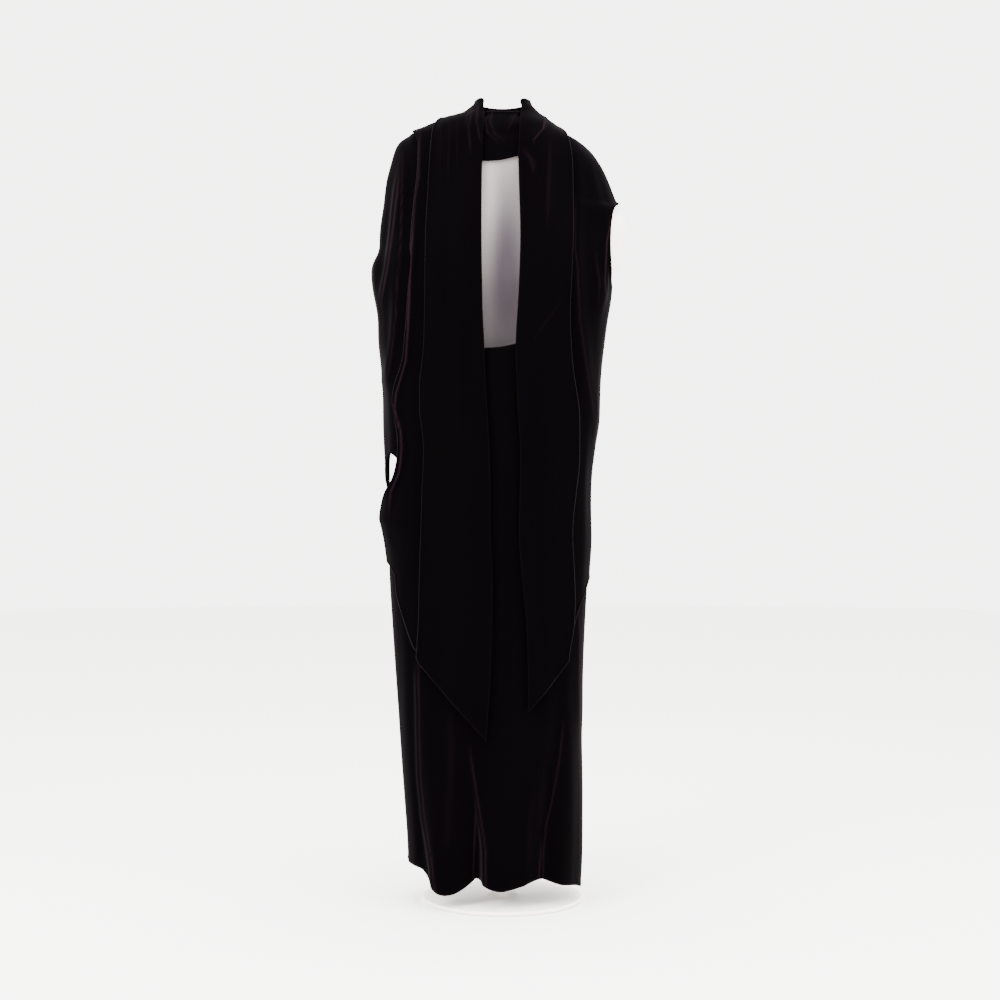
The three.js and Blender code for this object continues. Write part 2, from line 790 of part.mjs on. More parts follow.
// The stretch of scarf round the back of the neck, from one side to the other.
function makeScarfCollar() {
  const low = table(["turn", "z"], [
    [0.25, 1396],
    [0.35, 1392],
    [0.5, 1388],
    [0.65, 1394],
    [0.75, 1400],
  ]);
  const top = 1431;
  const place = (u, v, depth) => {
    const z = mix(read(low, mix(sideTurn, 1 - sideTurn, u), "z", "turn"), top, v);
    const seam = seamTurn(capeSurface, sideTurn, z, scarfSeam);
    const turn = mix(sideTurn + seam, 1 - sideTurn - seam, u);
    return moved(capeSurface, turn, z, depth + scarfOffset);
  };
  return mesh("scarf_collar", wallGeometry({ columns: 22, rows: 4, place }), velvet);
}

const capeDress = new THREE.Group();
capeDress.add(
  makeForm(),
  ...makeStand(),
  makeGownFront(),
  makeGownBack(),
  makeNeckBand(),
  makeCapeFront("cape_front_left", "left", leftFrontEdge, leftFrontHem),
  makeCapeFront("cape_front_right", "right", rightFrontEdge, rightFrontHem),
  makeCapeSide(),
  makeCapeBack(),
  makeScarfCollar(),
  makeScarfEnd("scarf_end_left", leftEnd, "left"),
  makeScarfEnd("scarf_end_right", rightEnd, "right"),
);

export default capeDress;
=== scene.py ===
import math

import bmesh
import bpy
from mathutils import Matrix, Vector, noise
from mathutils.bvhtree import BVHTree
from mathutils.kdtree import KDTree


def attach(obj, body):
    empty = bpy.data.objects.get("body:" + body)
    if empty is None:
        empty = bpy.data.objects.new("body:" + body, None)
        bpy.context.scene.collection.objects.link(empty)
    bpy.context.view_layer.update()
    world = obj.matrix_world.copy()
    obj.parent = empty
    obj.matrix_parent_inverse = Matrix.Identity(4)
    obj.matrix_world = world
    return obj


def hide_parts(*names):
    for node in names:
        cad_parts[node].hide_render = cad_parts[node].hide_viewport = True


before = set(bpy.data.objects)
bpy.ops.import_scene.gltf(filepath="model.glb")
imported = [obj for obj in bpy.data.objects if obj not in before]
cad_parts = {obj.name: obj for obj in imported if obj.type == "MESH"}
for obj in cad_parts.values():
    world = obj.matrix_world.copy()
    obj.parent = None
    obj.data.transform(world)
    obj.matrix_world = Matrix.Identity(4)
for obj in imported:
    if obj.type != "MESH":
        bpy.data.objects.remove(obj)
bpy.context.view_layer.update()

mm = 0.001
viewPoint = Vector((-0.0045, -3.2, 0.7173))

# Camera: level, in front of the dress at half its height.
camera = {"lens": 64, "sensor": 36}
cameraData = bpy.data.cameras.new("front_camera")
cameraData.lens = camera["lens"]
cameraData.sensor_width = camera["sensor"]
cameraObject = bpy.data.objects.new("front_camera", cameraData)
cameraObject.location = viewPoint
cameraObject.rotation_euler = (math.radians(90), 0, 0)
bpy.context.scene.collection.objects.link(cameraObject)
bpy.context.scene.camera = cameraObject
print("camera placed")


def smoothStep(low, high, value):
    t = min(max((value - low) / (high - low), 0), 1)
    return t * t * (3 - 2 * t)


def bell(distance, width):
    return math.exp(-((distance / width) ** 2))


def linear(hexColour):
    parts = [int(hexColour[i : i + 2], 16) / 255 for i in (1, 3, 5)]
    return [p / 12.92 if p <= 0.04045 else ((p + 0.055) / 1.055) ** 2.4 for p in parts] + [1]


# Adds a node: settings are its properties or socket values, links are socket to source.
def addNode(tree, kind, settings=None, links=None):
    node = tree.nodes.new(kind)
    for name, value in (settings or {}).items():
        if isinstance(name, int) or name in node.inputs:
            node.inputs[name].default_value = value
        else:
            setattr(node, name, value)
    for name, source in (links or {}).items():
        tree.links.new(source, node.inputs[name])
    return node


def newMaterial(name):
    material = bpy.data.materials.new(name)
    material.use_nodes = True
    material.node_tree.nodes.clear()
    return material, material.node_tree


mixFactor, mixA, mixB, mixResult = 0, 6, 7, 2

# Silk velvet with an upright cut pile: near black from straight on, dusty plum where it is seen
# from the side, with a painted pink highlight line where a fold or a rolled edge would show the lit side of the
# pile.
velvetLook = {
    "ground": "#020202",
    "deep": "#020102",
    # The pink of the painted highlight on fold crests and free edges.
    "crestSheenPaint": "#180d13",
    "sheenTint": "#cbc4cb",
    "sheen": 0.03,
    "sheenRoughness": 0.37,
    "roughness": 0.85,
    "patchSize": 60,
    "patchStretch": 10,
    "grainSize": 1.1,
    "sheenPaintGain": 1.3,
    "bump": 0.25,
    "bumpDepth": 0.3,
}


def makeVelvet():
    look = velvetLook
    material, tree = newMaterial("velvet_silk_cut_pile")
    place = addNode(tree, "ShaderNodeTexCoord")
    stretched = addNode(tree, "ShaderNodeMapping", {"Scale": (1, 1, 1 / look["patchStretch"])},
                        {"Vector": place.outputs["Object"]})
    # Brushed patches of the pile, long down the cloth.
    patches = addNode(tree, "ShaderNodeTexNoise",
                      {"Scale": 1 / (look["patchSize"] * mm), "Detail": 3, "Roughness": 0.55},
                      {"Vector": stretched.outputs["Vector"]})
    # Tufts are 0.2 mm apart, too fine to show, so the grain is drawn at about 1 mm.
    grain = addNode(tree, "ShaderNodeTexNoise",
                    {"Scale": 1 / (look["grainSize"] * mm), "Detail": 2, "Roughness": 0.6},
                    {"Vector": place.outputs["Object"]})
    ground = addNode(tree, "ShaderNodeMix",
                     {"data_type": "RGBA", mixA: linear(look["deep"]), mixB: linear(look["ground"])},
                     {mixFactor: patches.outputs["Fac"]})
    # This attribute is a painted highlight: a pink line mixed into the base colour along folds and free edges.
    crestSheenPaint = addNode(tree, "ShaderNodeAttribute", {"attribute_name": "crestSheenPaint"})
    broken = addNode(tree, "ShaderNodeMath", {"operation": "MULTIPLY"},
                     {0: crestSheenPaint.outputs["Fac"], 1: grain.outputs["Fac"]})
    shown = addNode(tree, "ShaderNodeMath", {"operation": "MULTIPLY", 1: look["sheenPaintGain"], "use_clamp": True},
                    {0: broken.outputs["Value"]})
    colour = addNode(tree, "ShaderNodeMix", {"data_type": "RGBA", mixB: linear(look["crestSheenPaint"])},
                     {mixFactor: shown.outputs["Value"], mixA: ground.outputs[mixResult]})
    bump = addNode(tree, "ShaderNodeBump", {"Strength": look["bump"], "Distance": look["bumpDepth"] * mm},
                   {"Height": grain.outputs["Fac"]})
    shader = addNode(tree, "ShaderNodeBsdfPrincipled",
                     {"Roughness": look["roughness"], "Specular IOR Level": 0,
                      "Sheen Weight": look["sheen"], "Sheen Roughness": look["sheenRoughness"],
                      "Sheen Tint": linear(look["sheenTint"])},
                     {"Base Color": colour.outputs[mixResult], "Normal": bump.outputs["Normal"]})
    addNode(tree, "ShaderNodeOutputMaterial", links={"Surface": shader.outputs["BSDF"]})
    return material


# The form's cover: fine woven cotton in a pale warm grey, stretched smooth and matt.
coverLook = {"light": "#efe6e3", "dark": "#e9dfdc", "shade": "#1f171e", "soilSize": 90, "threadSpacing": 1.2,
             "bump": 0.15, "bumpDepth": 0.15, "roughness": 0.75, "sheen": 0.1}
waveBand = 0.314  # metres from crest to crest of a wave texture at scale 1


def makeCover():
    look = coverLook
    material, tree = newMaterial("cotton_form_cover")
    place = addNode(tree, "ShaderNodeTexCoord")
    soil = addNode(tree, "ShaderNodeTexNoise", {"Scale": 1 / (look["soilSize"] * mm), "Detail": 4},
                   {"Vector": place.outputs["Object"]})
    weft, warp = [
        addNode(tree, "ShaderNodeTexWave",
                {"bands_direction": direction, "Scale": waveBand / (look["threadSpacing"] * mm),
                 "Distortion": 0.4, "Detail": 1}, {"Vector": place.outputs["Object"]})
        for direction in "ZX"
    ]
    weave = addNode(tree, "ShaderNodeMath", {"operation": "ADD"},
                    {0: weft.outputs["Fac"], 1: warp.outputs["Fac"]})
    colour = addNode(tree, "ShaderNodeMix",
                     {"data_type": "RGBA", mixA: linear(look["dark"]), mixB: linear(look["light"])},
                     {mixFactor: soil.outputs["Fac"]})
    # The cover is deeper in tone where the dress has shaded it, low in the keyhole.
    shade = addNode(tree, "ShaderNodeAttribute", {"attribute_name": "shade"})
    shaded = addNode(tree, "ShaderNodeMix", {"data_type": "RGBA", mixB: linear(look["shade"])},
                     {mixFactor: shade.outputs["Fac"], mixA: colour.outputs[mixResult]})
    bump = addNode(tree, "ShaderNodeBump", {"Strength": look["bump"], "Distance": look["bumpDepth"] * mm},
                   {"Height": weave.outputs["Value"]})
    shader = addNode(tree, "ShaderNodeBsdfPrincipled",
                     {"Roughness": look["roughness"], "Specular IOR Level": 0.3, "Sheen Weight": look["sheen"]},
                     {"Base Color": shaded.outputs[mixResult], "Normal": bump.outputs["Normal"]})
    addNode(tree, "ShaderNodeOutputMaterial", links={"Surface": shader.outputs["BSDF"]})
    return material


# The stand: steel with a satin off-white powder coat, whose fine orange peel breaks the highlight.
paintLook = {"colour": "#e6e1dc", "peelSize": 1.5, "smoothest": 0.36, "roughest": 0.5, "coat": 0.1,
             "bump": 0.2, "bumpDepth": 0.05}


def makePaint():
    look = paintLook
    material, tree = newMaterial("powder_coat_satin")
    place = addNode(tree, "ShaderNodeTexCoord")
    peel = addNode(tree, "ShaderNodeTexNoise", {"Scale": 1 / (look["peelSize"] * mm), "Detail": 2},
                   {"Vector": place.outputs["Object"]})
    wear = addNode(tree, "ShaderNodeMapRange", {"To Min": look["smoothest"], "To Max": look["roughest"]},
                   {"Value": peel.outputs["Fac"]})
    bump = addNode(tree, "ShaderNodeBump", {"Strength": look["bump"], "Distance": look["bumpDepth"] * mm},
                   {"Height": peel.outputs["Fac"]})
    shader = addNode(tree, "ShaderNodeBsdfPrincipled",
                     {"Base Color": linear(look["colour"]), "Coat Weight": look["coat"]},
                     {"Roughness": wear.outputs["Result"], "Normal": bump.outputs["Normal"]})
    addNode(tree, "ShaderNodeOutputMaterial", links={"Surface": shader.outputs["BSDF"]})
    return material


velvet = makeVelvet()
cover = makeCover()
paint = makePaint()
print("materials made")


# Where the camera sees a point, as x and z in mm on the upright plane through the pole.
def seenAt(point):
    reach = -viewPoint.y / (point.y - viewPoint.y)
    across = viewPoint.x + (point.x - viewPoint.x) * reach
    up = viewPoint.z + (point.z - viewPoint.z) * reach
    return across / mm, up / mm


def objectFrom(bm, name):
    mesh = bpy.data.meshes.new(name)
    bm.to_mesh(mesh)
    bm.free()
    mesh.shade_smooth()
    piece = bpy.data.objects.new(name, mesh)
    bpy.context.scene.collection.objects.link(piece)
    return piece


# Applies the piece's modifiers, so that later steps work on the real points.
def applyModifiers(piece):
    bpy.context.view_layer.update()
    graph = bpy.context.evaluated_depsgraph_get()
    mesh = bpy.data.meshes.new_from_object(piece.evaluated_get(graph))
    piece.modifiers.clear()
    old = piece.data
    piece.data = mesh
    bpy.data.meshes.remove(old)
    mesh.name = piece.name


def rimOf(mesh):
    uses = {}
    for polygon in mesh.polygons:
        for key in polygon.edge_keys:
            uses[key] = uses.get(key, 0) + 1
    return {index for key, count in uses.items() if count == 1 for index in key}


fitting = {"rounds": 2, "share": 0.9}


# Smooths a piece, and first moves its points out so that the smooth skin still passes through them:
# points on the rim move freely, the others only straight out of the skin.
def subdivide(piece, levels):
    smoother = piece.modifiers.new("smoother", "SUBSURF")
    smoother.levels = levels
    smoother.render_levels = levels
    smoother.boundary_smooth = "PRESERVE_CORNERS"
    wanted = [vertex.co.copy() for vertex in piece.data.vertices]
    rim = rimOf(piece.data)
    for turn in range(fitting["rounds"]):
        bpy.context.view_layer.update()
        smooth = piece.evaluated_get(bpy.context.evaluated_depsgraph_get()).to_mesh()
        found = [smooth.vertices[index].co.copy() for index in range(len(wanted))]
        for vertex, goal, place in zip(piece.data.vertices, wanted, found):
            miss = (goal - place) * fitting["share"]
            vertex.co += miss if vertex.index in rim else vertex.normal * miss.dot(vertex.normal)
        piece.data.update()
    applyModifiers(piece)


# The merged mesh of a CAD node.
def mergedCopy(nodeName):
    bm = bmesh.new()
    bm.from_mesh(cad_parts[nodeName].data)
    bmesh.ops.remove_doubles(bm, verts=bm.verts, dist=0.01 * mm)
    bm.normal_update()
    return bm


def joinQuads(bm):
    bmesh.ops.join_triangles(
        bm, faces=bm.faces, angle_face_threshold=math.radians(60), angle_shape_threshold=math.radians(90)
    )


wall = 2 * mm
rimWidth = 1.3 * wall


# The outward side of a CAD wall of cloth, as one open sheet of quads.
def outerSkin(nodeName):
    skin = mergedCopy(nodeName)
    rims = [face for face in skin.faces if min(edge.calc_length() for edge in face.edges) < rimWidth]
    bmesh.ops.delete(skin, geom=rims, context="FACES")
    keepOutwardSheet(skin)
    joinQuads(skin)
    return skin


# The sheet that faces away from the body's middle, which is taken a little below each face, in mm.
heart = {"below": 60, "highest": 1250}


def keepOutwardSheet(skin):
    waiting = set(skin.faces)
    sheets = []
    while waiting:
        group = [waiting.pop()]
        for face in group:
            for edge in face.edges:
                for other in edge.link_faces:
                    if other in waiting:
                        waiting.discard(other)
                        group.append(other)
        outward = 0
        for face in group:
            centre = face.calc_center_median()
            middle = Vector((0, 0, min(centre.z - heart["below"] * mm, heart["highest"] * mm)))
            outward += face.calc_area() * (centre - middle).normalized().dot(face.normal)
        sheets.append((outward, group))
    sheets.sort(key=lambda sheet: sheet[0])
    lost = [face for outward, group in sheets[:-1] for face in group]
    bmesh.ops.delete(skin, geom=lost, context="FACES")


# Default fade in mm, and half width in mm of the painted highlight along a fold's crest.
foldDefaults = {"fade": 30, "sheenPaintWidth": 1.6}


# How far the folds lift the cloth at a place, and how strong the painted highlight along their crest is there.
def foldLift(folds, x, z):
    lift = 0
    crestSheenPaint = 0
    for fold in folds:
        line = fold["line"]
        top, bottom, fade = line[0][1], line[-1][1], fold.get("fade", foldDefaults["fade"])
        if not bottom - fade < z < top + fade:
            continue
        centre = line[0][0] if z >= top else line[-1][0]
        for (xHigh, zHigh), (xLow, zLow) in zip(line, line[1:]):
            if zLow <= z <= zHigh:
                centre = xHigh + (xLow - xHigh) * (zHigh - z) / (zHigh - zLow)
        ends = smoothStep(bottom - fade, bottom + fade, z) * (1 - smoothStep(top - fade, top + fade, z))
        away = x - centre
        lift += fold["lift"] * ends * bell(away, fold["left"] if away < 0 else fold["right"])
        crestSheenPaint += fold["sheenPaint"] * ends * bell(away, fold.get("sheenPaintWidth", foldDefaults["sheenPaintWidth"]))
    return lift, crestSheenPaint


# Folds are drawn as the camera sees them: lines of x and z in mm, lift and half widths in mm.
# Each fold also gives the strength, and may give the half width in mm, of a painted highlight along its crest.
gownFolds = [
    {"line": [(-152, 419), (-150, 310), (-148, 223), (-141, 148), (-132, 95), (-125, 45), (-117, -60)],
     "lift": 6, "left": 6, "right": 26, "sheenPaint": 0.4},
    {"line": [(-58, 261), (-50, 209), (-40, 148), (-32, 99), (-31, 83), (-29, -60)],
     "lift": 5, "left": 6, "right": 20, "sheenPaint": 0.4},
    {"line": [(-48, 150), (-51, 92), (-55, -60)], "lift": 4, "left": 18, "right": 5, "sheenPaint": 0.5},
    {"line": [(109, 306), (102, 245), (88, 171), (79, 133), (74, 83), (72, -60)],
     "lift": 4, "left": 6, "right": 22, "sheenPaint": 0.3},
    {"line": [(69, 90), (59, -60)], "lift": 4, "left": 16, "right": 5, "sheenPaint": 0.5},
    {"line": [(-94, 329), (-93, 230), (-99, 100)], "lift": 2.5, "left": 12, "right": 12, "sheenPaint": 0.06,
     "sheenPaintWidth": 6},
    {"line": [(58, 190), (49, 140), (49, 60)], "lift": 2.5, "left": 10, "right": 10, "sheenPaint": 0.05,
     "sheenPaintWidth": 5},
    {"line": [(129, 563), (136, 536), (140, 484), (139, 396), (141, 317)],
     "lift": 2, "left": 8, "right": 6, "sheenPaint": 0.6},
]
capeLeftFolds = [
    {"line": [(-149, 1372), (-151, 1300), (-158, 1255), (-161, 1207), (-162, 1195)],
     "lift": 4, "left": 20, "right": 9, "sheenPaint": 0.45, "sheenPaintWidth": 2},
    {"line": [(-162, 1195), (-165, 1167), (-168, 1083), (-170, 1030)],
     "lift": 4, "left": 20, "right": 9, "sheenPaint": 0.95, "sheenPaintWidth": 2},
    {"line": [(-170, 1030), (-174, 970), (-180, 947), (-192, 909), (-194, 884), (-191, 868), (-183, 839),
              (-182, 808), (-184, 785), (-187, 765), (-202, 731), (-204, 711)],
     "lift": 8, "left": 24, "right": 6, "sheenPaint": 0.9, "sheenPaintWidth": 1.5},
]
capeSideFolds = [
    {"line": [(-187, 1294), (-198, 1202), (-207, 1138), (-214, 1100), (-218, 1078)],
     "lift": 5, "left": 6, "right": 14, "sheenPaint": 0.8},
    {"line": [(-180, 1327), (-183, 1202), (-186, 1145), (-191, 1100), (-192, 1058), (-197, 1004), (-205, 949),
              (-211, 931)], "lift": 4, "left": 8, "right": 8, "sheenPaint": 0.3},
]
capeRightFolds = [
    {"line": [(131, 1251), (131, 1168), (135, 1141), (137, 1100), (140, 1040), (153, 950), (162, 896),
              (169, 842)],
     "lift": 3, "left": 14, "right": 12, "sheenPaint": 0.3},
    {"line": [(169, 1148), (175, 1112), (173, 1078)], "lift": 4, "left": 8, "right": 10, "sheenPaint": 0.25},
    {"line": [(193, 1210), (188, 1183), (186, 1141), (185, 1112), (187, 1085)],
     "lift": 3, "left": 10, "right": 4, "sheenPaint": 0.8, "sheenPaintWidth": 1.3},
]
scarfLeftFolds = [
    {"line": [(-96, 1400), (-97, 1340), (-98, 1300)], "lift": 3, "left": 14, "right": 7, "sheenPaint": 0.09},
    {"line": [(-110, 1396), (-112, 1350), (-113, 1320)], "lift": 2, "left": 8, "right": 5, "sheenPaint": 0.07},
    {"line": [(-80, 1404), (-82, 1360), (-84, 1310)], "lift": 2, "left": 9, "right": 6, "sheenPaint": 0.05},
    {"line": [(-43, 1429), (-47, 1400), (-40, 1364)],
     "lift": 2, "left": 5, "right": 5, "sheenPaint": 0.3, "fade": 10},
    {"line": [(-54, 1422), (-61, 1391), (-58, 1346)],
     "lift": 2.5, "left": 6, "right": 6, "sheenPaint": 0.25, "fade": 14},
]
scarfRightFolds = [
    {"line": [(86, 1360), (85, 1337), (81, 1220)],
     "lift": 4, "left": 12, "right": 12, "sheenPaint": 0.14, "sheenPaintWidth": 3},
    {"line": [(101, 1069), (59, 1012)], "lift": 1.5, "left": 10, "right": 10, "sheenPaint": 0.1},
    {"line": [(77, 1406), (74, 1386), (56, 1366)], "lift": 3, "left": 12, "right": 4, "sheenPaint": 0.9, "fade": 8},
    {"line": [(40, 1345), (52, 1330), (56, 1310)], "lift": 1.5, "left": 8, "right": 8, "sheenPaint": 0.2, "fade": 10,
     "sheenPaintWidth": 4},
]
bandFolds = [
    {"line": [(-29, 1436), (-34, 1409), (-27, 1379), (-9, 1363)], "lift": 4, "left": 6, "right": 6, "sheenPaint": 0.4,
     "fade": 8},
    {"line": [(-18, 1422), (-22, 1397), (-13, 1375), (2, 1364)], "lift": 3, "left": 6, "right": 5, "sheenPaint": 0.3,
     "fade": 8},
    {"line": [(31, 1424), (20, 1404), (11, 1386)], "lift": 3, "left": 6, "right": 6, "sheenPaint": 0.25, "fade": 8},
]

# Each piece of cloth: its folds, its fine waves (height, width and length in mm), the heights across
# which the painted highlight on its free edge fades out, the size it was cut to in metres, how it is held,
# what it rests on, and the pieces that lie over it.
fronts = ["cape_front_left", "cape_front_right"]
ends = ["scarf_end_left", "scarf_end_right"]
clothPieces = {
    "gown_front": {"folds": gownFolds, "wave": (1.2, 26, 300), "quiet": (900, 1100),
                   "flat": (0.52, 1.42), "area": 0.56,
                   "held": "hung", "restsOn": ["form_cover"], "below": fronts + ends + ["cape_side_left"]},
    "gown_back": {"folds": [], "wave": (2.0, 30, 400), "flat": (0.56, 1.42), "area": 0.6, "held": "hung",
                  "restsOn": ["form_cover"], "below": ["cape_back", "cape_side_left", "scarf_collar"]},
    "neck_band": {"folds": bandFolds, "wave": (0.8, 18, 30), "quiet": (0, 1), "flat": (0.42, 0.09),
                  "held": "stretched", "restsOn": ["form_cover"], "below": ends + ["scarf_collar"]},
    "cape_front_left": {"folds": capeLeftFolds, "wave": (1.6, 24, 260), "flat": (0.2, 0.95), "area": 0.13,
                        "held": "draped", "restsOn": ["gown_front_velvet"], "below": ["scarf_end_left"]},
    "cape_front_right": {"folds": capeRightFolds, "wave": (1.6, 24, 260), "flat": (0.24, 0.95), "area": 0.17,
                         "held": "draped", "restsOn": ["gown_front_velvet"], "below": ["scarf_end_right"]},
    "cape_side_left": {"folds": capeSideFolds, "wave": (2.2, 26, 260), "flat": (0.2, 0.65), "area": 0.11,
                       "held": "draped", "restsOn": ["gown_back_velvet"], "below": ["cape_front_left"]},
    "cape_back": {"folds": [], "wave": (2.0, 34, 300), "flat": (0.5, 0.7), "area": 0.31, "held": "draped",
                  "restsOn": ["gown_back_velvet"], "below": ["scarf_collar"]},
    "scarf_collar": {"folds": [], "wave": (0.9, 20, 16), "flat": (0.24, 0.045), "held": "draped",
                     "restsOn": ["cape_back_velvet"], "below": []},
    "scarf_end_left": {"folds": scarfLeftFolds, "wave": (0.8, 30, 380), "quiet": (1290, 1330),
                       "flat": (0.13, 1.13), "area": 0.125,
                       "held": "hung", "restsOn": ["cape_front_left_velvet"], "below": []},
    "scarf_end_right": {"folds": scarfRightFolds, "wave": (0.8, 30, 380), "flat": (0.11, 1.08), "area": 0.105,
                        "held": "hung", "restsOn": ["cape_front_right_velvet"], "below": []},
}
clothMake = {
    "levels": 3,
    "seamReach": 6,
    "coverStart": 0.3,
    "coverReach": 70,
    "coverFade": (3, 16),
    "foldFacing": 0.3,
    "placedLift": 1,
    "bead": 1.1,
    "beadFromEdge": 2.5,
    "beadWidth": 2.2,
    # Strength and half width in mm of the painted highlight along free edges.
    "edgeSheenPaint": 0.1,
    "edgeSheenPaintWidth": 1.3,
}

# The CAD walls have a step below the bust and another where the right armhole starts. Cloth falls past
# both in one slope: each entry eases the depth between two heights, beyond an x on the right, in mm.
slopes = [
    {"low": 1060, "high": 1310, "fade": 40, "rounds": 6, "share": 0.5, "beyond": -400, "sideways": 0.5},
    {"low": 1180, "high": 1310, "fade": 25, "rounds": 60, "share": 0.8, "beyond": 105, "sideways": 0},
]
slopeMake = {"facing": (0.5, 0.8), "beyondFade": 30, "upright": 0.7}


def easeSlope(skin, slope):
    skin.normal_update()
    facing = {vert: smoothStep(*slopeMake["facing"], -vert.normal.y) for vert in skin.verts}
    for turn in range(slope["rounds"]):
        moves = []
        for vert in skin.verts:
            x, z = vert.co.x / mm, vert.co.z / mm
            share = smoothStep(slope["low"], slope["low"] + slope["fade"], z)
            share *= 1 - smoothStep(slope["high"] - slope["fade"], slope["high"], z)
            share *= slope["share"] * smoothStep(slope["beyond"], slope["beyond"] + slopeMake["beyondFade"], x)
            steep = [edge for edge in vert.link_edges
                     if abs(edge.other_vert(vert).co.z - vert.co.z) > slopeMake["upright"] * edge.calc_length()]
            upright = [edge.other_vert(vert).co for edge in steep]
            if share == 0 or len(upright) != 2 or vert.co.y > 0:
                continue
            low, high = sorted(upright, key=lambda place: place.z)
            middle = low.lerp(high, (vert.co.z - low.z) / (high.z - low.z))
            moves.append((vert, (middle.x - vert.co.x) * share * slope["sideways"] * facing[vert],
                          (middle.y - vert.co.y) * share))
        for vert, across, back in moves:
            vert.co.x += across
            vert.co.y += back


# The left side's hanging tip turns its face towards the front.
hangingTip = {"from": 815, "to": 765, "twist": 0.2, "left": -190, "behind": -20}


def twistTip(skin):
    for vert in skin.verts:
        share = smoothStep(hangingTip["from"], hangingTip["to"], vert.co.z / mm)
        behind = vert.co.y - hangingTip["behind"] * mm
        if vert.co.x < hangingTip["left"] * mm and behind > 0:
            vert.co.x += hangingTip["twist"] * share * behind


for name, look in clothPieces.items():
    skin = outerSkin(name)
    if name != "cape_back" and name != "gown_back":
        for slope in slopes:
            easeSlope(skin, slope)
    if name == "cape_side_left":
        twistTip(skin)
    look["object"] = objectFrom(skin, name + "_velvet")
    subdivide(look["object"], clothMake["levels"])
print("cloth skins cut")


def edgePoints(bm):
    return [vert.co.copy() for vert in bm.verts if vert.is_boundary]


def treeOf(points):
    tree = KDTree(max(len(points), 1))
    for index, point in enumerate(points):
        tree.insert(point, index)
    tree.balance()
    return tree


for look in clothPieces.values():
    bm = bmesh.new()
    bm.from_mesh(look["object"].data)
    look["edge"] = edgePoints(bm)
    look["edgeTree"] = treeOf(look["edge"])
    look["surface"] = BVHTree.FromBMesh(bm)
    bm.free()


# The edge points that no other piece meets, which are hems and open edges.
def freeEdge(name):
    reach = clothMake["seamReach"] * mm
    others = [look["edgeTree"] for other, look in clothPieces.items() if other != name]
    points = clothPieces[name]["edge"]
    return [point for point in points if all(tree.find(point)[2] > reach for tree in others)]


# 0 where another piece lies over the cloth, rising to 1 away from that piece's edge.
def openness(look, point, normal):
    value = 1
    start = point + normal * clothMake["coverStart"] * mm
    for other in look["below"]:
        upper = clothPieces[other]
        if upper["surface"].ray_cast(start, normal, clothMake["coverReach"] * mm)[0]:
            return 0
        low, high = clothMake["coverFade"]
        away = upper["edgeTree"].find(point)[2] / mm
        value = min(value, smoothStep(low, high, away))
    return value


def shapeCloth(name, look):
    piece = look["object"]
    free = freeEdge(name)
    freeTree = treeOf(free) if free else None
    bm = bmesh.new()
    bm.from_mesh(piece.data)
    bm.normal_update()
    # A per-point attribute holding the painted highlight along fold crests and free edges.
    sheenPaint = bm.verts.layers.float.new("crestSheenPaint")
    height, width, length = look["wave"]
    moves = []
    for vert in bm.verts:
        point, normal = vert.co, vert.normal
        shown = openness(look, point, normal)
        x, z = seenAt(point)
        lift, crestSheenPaint = foldLift(look["folds"], x, z) if normal.y < clothMake["foldFacing"] else (0, 0)
        wavePlace = Vector((point.x / width, point.y / width, point.z / length)) / mm
        lift += height * noise.noise(wavePlace)
        lift *= shown
        # A lifted fold is seen to one side of its line, so its painted crest highlight is placed anew.
        if crestSheenPaint or lift > clothMake["placedLift"]:
            crestSheenPaint = foldLift(look["folds"], *seenAt(point + normal * lift * mm))[1]
        if freeTree:
            away = freeTree.find(point)[2] / mm
            lift += clothMake["bead"] * bell(away - clothMake["beadFromEdge"], clothMake["beadWidth"])
            # Free edges get a thin painted highlight, faded out across the piece's quiet heights.
            quiet = smoothStep(*look["quiet"], point.z / mm) if "quiet" in look else 0
            crestSheenPaint = max(crestSheenPaint, clothMake["edgeSheenPaint"] * (1 - quiet) * bell(away, clothMake["edgeSheenPaintWidth"]))
        vert[sheenPaint] = crestSheenPaint
        moves.append((vert, normal * lift * mm))
    for vert, move in moves:
        vert.co += move
    bm.to_mesh(piece.data)
    bm.free()


def finishCloth(name, look):
    piece = look["object"]
    thick = piece.modifiers.new("wall", "SOLIDIFY")
    thick.thickness = wall
    thick.offset = -1
    applyModifiers(piece)
    piece.data.materials.clear()
    piece.data.materials.append(velvet)
    piece.data.shade_smooth()
    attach(piece, "root")
    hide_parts(name)


for name, look in clothPieces.items():
    shapeCloth(name, look)
    finishCloth(name, look)
    print("shaped", name)

# The form: the CAD body made smooth, under its woven cover. The dress shades its chest: more towards
# the waist, and most in the furrow between the two mounds.
formShape = {
    "levels": 2,
    "chest": 60,
    "edge": 100,
    "least": 0.37,
    "deeper": 0.24,
    "from": 1245,
    "to": 1060,
    "furrow": 0.53,
    "furrowX": 6,
    "furrowLeft": 23,
    "furrowRight": 32,
    "furrowZ": 1135,
    "furrowHeight": 145,
    "contrast": 0.0156,
}
formBody = mergedCopy("form_torso")
joinQuads(formBody)
form = objectFrom(formBody, "form_cover")
subdivide(form, formShape["levels"])


def chestShade(x, z):
    shape = formShape
    depth = shape["least"] + shape["deeper"] * smoothStep(shape["from"], shape["to"], z)
    away = x - shape["furrowX"]
    across = bell(away, shape["furrowLeft"] if away < 0 else shape["furrowRight"])
    depth += shape["furrow"] * across * bell(z - shape["furrowZ"], shape["furrowHeight"])
    depth *= 1 - smoothStep(shape["chest"], shape["edge"], abs(x))
    return (1 - shape["contrast"] ** depth) / (1 - shape["contrast"])


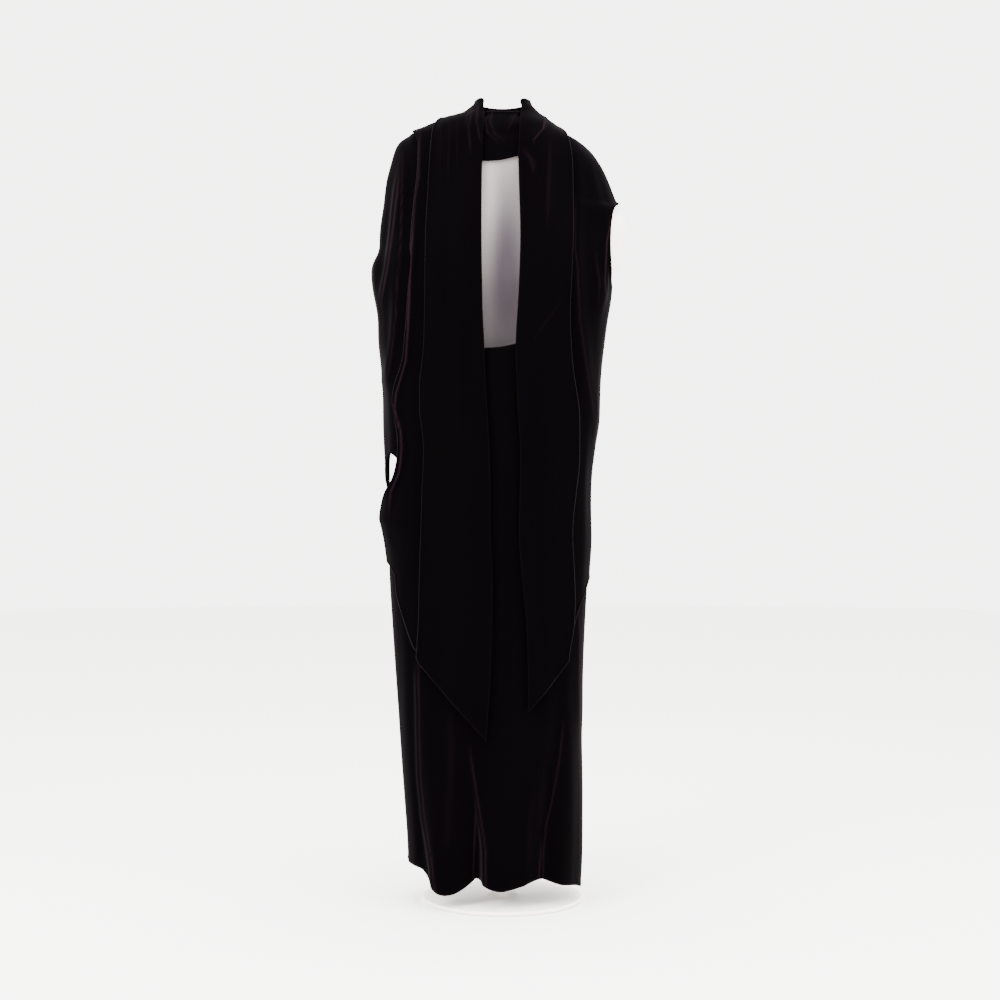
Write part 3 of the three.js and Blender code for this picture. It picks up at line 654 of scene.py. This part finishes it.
shadeValues = [chestShade(vertex.co.x / mm, vertex.co.z / mm) if vertex.co.y < 0 else 0
               for vertex in form.data.vertices]
form.data.attributes.new("shade", "FLOAT", "POINT").data.foreach_set("value", shadeValues)
form.data.shade_smooth()
form.data.materials.clear()
form.data.materials.append(cover)
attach(form, "root")
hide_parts("form_torso")
print("form made")

# The stand: a turned plate with a hub, and a tube. Profiles are radius and height in mm.
standShape = {
    "plate": [(0, 0), (142, 0), (145, 3), (145, 5), (142, 8), (30, 9), (22, 14), (20, 22), (0, 22)],
    "pole": [(0, 22.3), (14, 22.3), (14, 619.7), (0, 619.7)],
    "steps": 96,
    "sharp": 30,
    "edge": 1,
}


def turned(name, profile, node):
    bm = bmesh.new()
    points = [bm.verts.new((radius * mm, 0, height * mm)) for radius, height in profile]
    edges = [bm.edges.new(pair) for pair in zip(points, points[1:])]
    bmesh.ops.spin(bm, geom=points + edges, cent=(0, 0, 0), axis=(0, 0, 1), angle=2 * math.pi,
                   steps=standShape["steps"], use_merge=True)
    bmesh.ops.remove_doubles(bm, verts=bm.verts, dist=0.01 * mm)
    bmesh.ops.recalc_face_normals(bm, faces=bm.faces)
    limit = math.radians(standShape["sharp"])
    sharp = [edge for edge in bm.edges if len(edge.link_faces) == 2 and edge.calc_face_angle() > limit]
    bmesh.ops.bevel(bm, geom=sharp, offset=standShape["edge"] * mm, affect="EDGES", segments=3, profile=0.5,
                    material=-1)
    piece = objectFrom(bm, name)
    piece.data.materials.append(paint)
    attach(piece, "root")
    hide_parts(node)
    return piece


turned("stand_plate_turned", standShape["plate"], "stand_plate")
turned("stand_pole_tube", standShape["pole"], "stand_pole")
print("stand made")

# A plain pale floor and soft studio light from all round.
studio = {"floorSize": 9, "floor": "#f7f5f3", "world": "#f6f4f2", "worldStrength": 6, "aimHeight": 0.8}
floorMesh = bmesh.new()
bmesh.ops.create_circle(floorMesh, cap_ends=True, radius=studio["floorSize"], segments=96)
floor = objectFrom(floorMesh, "studio_floor")
floorMaterial, floorTree = newMaterial("studio_floor_paper")
floorPlace = addNode(floorTree, "ShaderNodeTexCoord")
floorNoise = addNode(floorTree, "ShaderNodeTexNoise", {"Scale": 3}, {"Vector": floorPlace.outputs["Object"]})
floorRough = addNode(floorTree, "ShaderNodeMapRange", {"To Min": 0.85, "To Max": 0.95},
                     {"Value": floorNoise.outputs["Fac"]})
floorShader = addNode(floorTree, "ShaderNodeBsdfPrincipled",
                      {"Base Color": linear(studio["floor"]), "Specular IOR Level": 0.1},
                      {"Roughness": floorRough.outputs["Result"]})
addNode(floorTree, "ShaderNodeOutputMaterial", links={"Surface": floorShader.outputs["BSDF"]})
floor.data.materials.append(floorMaterial)

world = bpy.data.worlds.new("studio_world")
world.use_nodes = True
world.node_tree.nodes.clear()
sky = addNode(world.node_tree, "ShaderNodeBackground",
              {"Color": linear(studio["world"]), "Strength": studio["worldStrength"]})
addNode(world.node_tree, "ShaderNodeOutputWorld", links={"Surface": sky.outputs["Background"]})
bpy.context.scene.world = world

# Soft boxes: place, size in metres, power in watts.
lights = {
    "key_left": {"place": (-2.2, -2.6, 2.6), "size": 1.6, "power": 260},
    "fill_right": {"place": (2.6, -2.0, 1.8), "size": 1.8, "power": 120},
    "top": {"place": (0, -0.4, 3.4), "size": 2.2, "power": 200},
}
for name, light in lights.items():
    data = bpy.data.lights.new(name, "AREA")
    data.shape = "SQUARE"
    data.size = light["size"]
    data.energy = light["power"]
    lamp = bpy.data.objects.new(name, data)
    lamp.location = light["place"]
    aim = Vector((0, 0, studio["aimHeight"])) - lamp.location
    lamp.rotation_euler = aim.to_track_quat("-Z", "Y").to_euler()
    bpy.context.scene.collection.objects.link(lamp)
print("studio made")
